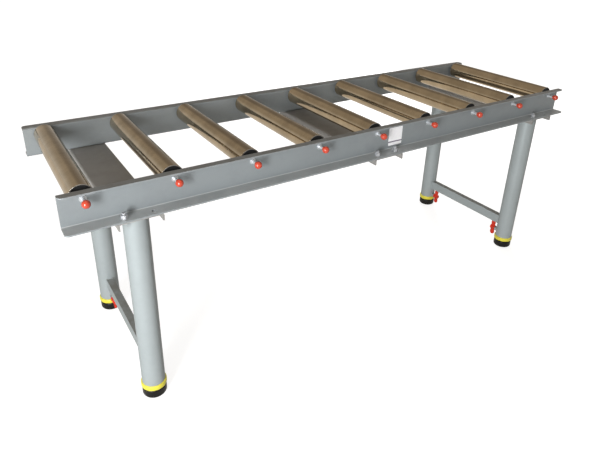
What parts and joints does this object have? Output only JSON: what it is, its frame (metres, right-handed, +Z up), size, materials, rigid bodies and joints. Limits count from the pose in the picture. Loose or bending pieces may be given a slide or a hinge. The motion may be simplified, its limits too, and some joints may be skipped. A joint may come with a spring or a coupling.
{
  "type": "roller conveyor table",
  "caption": "Gravity roller table: bent steel rails with outward flanges carry free-turning tube rollers on fixed axles, over leg frames with telescopic clamped legs and rubber feet.",
  "frame": {"origin": "on the floor under the middle of the table, with the feet pushed in", "axes": "+X along the rails, from the end seen at the left in the picture to the end at the right; -Y towards the side with the red balls; +Z up"},
  "size_m": [2, 0.62, 0.748],
  "materials": {
    "rail_paint": "satin silver-grey paint",
    "channel_paint": "satin silver-grey paint",
    "leg_paint": "satin silver-grey paint",
    "bush_plastic": "yellow, satin",
    "inner_leg_zinc": "zinc plated, drawn",
    "foot_rubber": "black, matt",
    "screw_zinc": "zinc plated",
    "knob_plastic": "red, satin",
    "roller_steel": "polished tube",
    "plug_plastic": "black",
    "bearing_steel": "ground rings",
    "axle_steel": "bright drawn bar",
    "spacer_zinc": "zinc plated",
    "clip_steel": "dark spring steel",
    "ball_plastic": "red, glossy",
    "bolt_zinc": "zinc plated",
    "label_film": "white film, blank"
  },
  "bodies": {
    "frame": {"front_rail": "rail_paint", "back_rail": "rail_paint", "left_cross_channel": "channel_paint", "middle_cross_channel": "channel_paint", "right_cross_channel": "channel_paint", "front_left_outer_leg": "leg_paint", "back_left_outer_leg": "leg_paint", "front_right_outer_leg": "leg_paint", "back_right_outer_leg": "leg_paint", "left_brace": "leg_paint", "right_brace": "leg_paint", "front_left_guide_bush": "bush_plastic", "back_left_guide_bush": "bush_plastic", "front_right_guide_bush": "bush_plastic", "back_right_guide_bush": "bush_plastic", "clamp_bosses": "leg_paint", "ball_bearings": "bearing_steel", "axles": "axle_steel", "axle_spacers": "spacer_zinc", "axle_clips": "clip_steel", "axle_ball_caps": "ball_plastic", "channel_bolts": "bolt_zinc", "channel_nuts": "bolt_zinc", "channel_washers": "bolt_zinc", "blank_label": "label_film"},
    "roller_1": {"roller_1_tube": "roller_steel", "roller_1_end_plugs": "plug_plastic"},
    "roller_2": {"roller_2_tube": "roller_steel", "roller_2_end_plugs": "plug_plastic"},
    "roller_3": {"roller_3_tube": "roller_steel", "roller_3_end_plugs": "plug_plastic"},
    "roller_4": {"roller_4_tube": "roller_steel", "roller_4_end_plugs": "plug_plastic"},
    "roller_5": {"roller_5_tube": "roller_steel", "roller_5_end_plugs": "plug_plastic"},
    "roller_6": {"roller_6_tube": "roller_steel", "roller_6_end_plugs": "plug_plastic"},
    "roller_7": {"roller_7_tube": "roller_steel", "roller_7_end_plugs": "plug_plastic"},
    "roller_8": {"roller_8_tube": "roller_steel", "roller_8_end_plugs": "plug_plastic"},
    "roller_9": {"roller_9_tube": "roller_steel", "roller_9_end_plugs": "plug_plastic"},
    "front_left_leg": {"front_left_inner_leg": "inner_leg_zinc", "front_left_rubber_foot": "foot_rubber"},
    "front_left_screw": {"front_left_clamp_screw": "screw_zinc"},
    "front_left_knob": {"front_left_wing_knob": "knob_plastic"},
    "back_left_leg": {"back_left_inner_leg": "inner_leg_zinc", "back_left_rubber_foot": "foot_rubber"},
    "back_left_screw": {"back_left_clamp_screw": "screw_zinc"},
    "back_left_knob": {"back_left_wing_knob": "knob_plastic"},
    "front_right_leg": {"front_right_inner_leg": "inner_leg_zinc", "front_right_rubber_foot": "foot_rubber"},
    "front_right_screw": {"front_right_clamp_screw": "screw_zinc"},
    "front_right_knob": {"front_right_wing_knob": "knob_plastic"},
    "back_right_leg": {"back_right_inner_leg": "inner_leg_zinc", "back_right_rubber_foot": "foot_rubber"},
    "back_right_screw": {"back_right_clamp_screw": "screw_zinc"},
    "back_right_knob": {"back_right_wing_knob": "knob_plastic"}
  },
  "joints": [
    {"name": "roller_1_spin", "type": "hinge", "parent": "frame", "child": "roller_1", "pos_m": [-0.94, 0, 0.7155], "axis": [0, 1, 0], "continuous": true},
    {"name": "roller_2_spin", "type": "hinge", "parent": "frame", "child": "roller_2", "pos_m": [-0.705, 0, 0.7155], "axis": [0, 1, 0], "continuous": true},
    {"name": "roller_3_spin", "type": "hinge", "parent": "frame", "child": "roller_3", "pos_m": [-0.47, 0, 0.7155], "axis": [0, 1, 0], "continuous": true},
    {"name": "roller_4_spin", "type": "hinge", "parent": "frame", "child": "roller_4", "pos_m": [-0.235, 0, 0.7155], "axis": [0, 1, 0], "continuous": true},
    {"name": "roller_5_spin", "type": "hinge", "parent": "frame", "child": "roller_5", "pos_m": [0, 0, 0.7155], "axis": [0, 1, 0], "continuous": true},
    {"name": "roller_6_spin", "type": "hinge", "parent": "frame", "child": "roller_6", "pos_m": [0.235, 0, 0.7155], "axis": [0, 1, 0], "continuous": true},
    {"name": "roller_7_spin", "type": "hinge", "parent": "frame", "child": "roller_7", "pos_m": [0.47, 0, 0.7155], "axis": [0, 1, 0], "continuous": true},
    {"name": "roller_8_spin", "type": "hinge", "parent": "frame", "child": "roller_8", "pos_m": [0.705, 0, 0.7155], "axis": [0, 1, 0], "continuous": true},
    {"name": "roller_9_spin", "type": "hinge", "parent": "frame", "child": "roller_9", "pos_m": [0.94, 0, 0.7155], "axis": [0, 1, 0], "continuous": true},
    {"name": "front_left_leg_slide", "type": "slide", "parent": "frame", "child": "front_left_leg", "axis": [0, 0, -1], "range_m": [0, 0.35]},
    {"name": "front_left_screw_slide", "type": "slide", "parent": "frame", "child": "front_left_screw", "axis": [0, 1, 0], "range_m": [0, 0.003]},
    {"name": "front_left_knob_turn", "type": "hinge", "parent": "front_left_screw", "child": "front_left_knob", "pos_m": [-0.815, -0.183, 0.062], "axis": [0, 1, 0], "range_deg": [0, 720]},
    {"name": "back_left_leg_slide", "type": "slide", "parent": "frame", "child": "back_left_leg", "axis": [0, 0, -1], "range_m": [0, 0.35]},
    {"name": "back_left_screw_slide", "type": "slide", "parent": "frame", "child": "back_left_screw", "axis": [0, -1, 0], "range_m": [0, 0.003]},
    {"name": "back_left_knob_turn", "type": "hinge", "parent": "back_left_screw", "child": "back_left_knob", "pos_m": [-0.815, 0.183, 0.062], "axis": [0, -1, 0], "range_deg": [0, 720]},
    {"name": "front_right_leg_slide", "type": "slide", "parent": "frame", "child": "front_right_leg", "axis": [0, 0, -1], "range_m": [0, 0.35]},
    {"name": "front_right_screw_slide", "type": "slide", "parent": "frame", "child": "front_right_screw", "axis": [0, 1, 0], "range_m": [0, 0.003]},
    {"name": "front_right_knob_turn", "type": "hinge", "parent": "front_right_screw", "child": "front_right_knob", "pos_m": [0.86, -0.183, 0.062], "axis": [0, 1, 0], "range_deg": [0, 720]},
    {"name": "back_right_leg_slide", "type": "slide", "parent": "frame", "child": "back_right_leg", "axis": [0, 0, -1], "range_m": [0, 0.35]},
    {"name": "back_right_screw_slide", "type": "slide", "parent": "frame", "child": "back_right_screw", "axis": [0, -1, 0], "range_m": [0, 0.003]},
    {"name": "back_right_knob_turn", "type": "hinge", "parent": "back_right_screw", "child": "back_right_knob", "pos_m": [0.86, 0.183, 0.062], "axis": [0, -1, 0], "range_deg": [0, 720]}
  ],
  "couplings": [
    {"joint": "front_left_knob_turn", "follows": "front_left_screw_slide", "rad_per_m": 4188.8},
    {"joint": "back_left_knob_turn", "follows": "back_left_screw_slide", "rad_per_m": 4188.8},
    {"joint": "front_right_knob_turn", "follows": "front_right_screw_slide", "rad_per_m": 4188.8},
    {"joint": "back_right_knob_turn", "follows": "back_right_screw_slide", "rad_per_m": 4188.8}
  ]
}
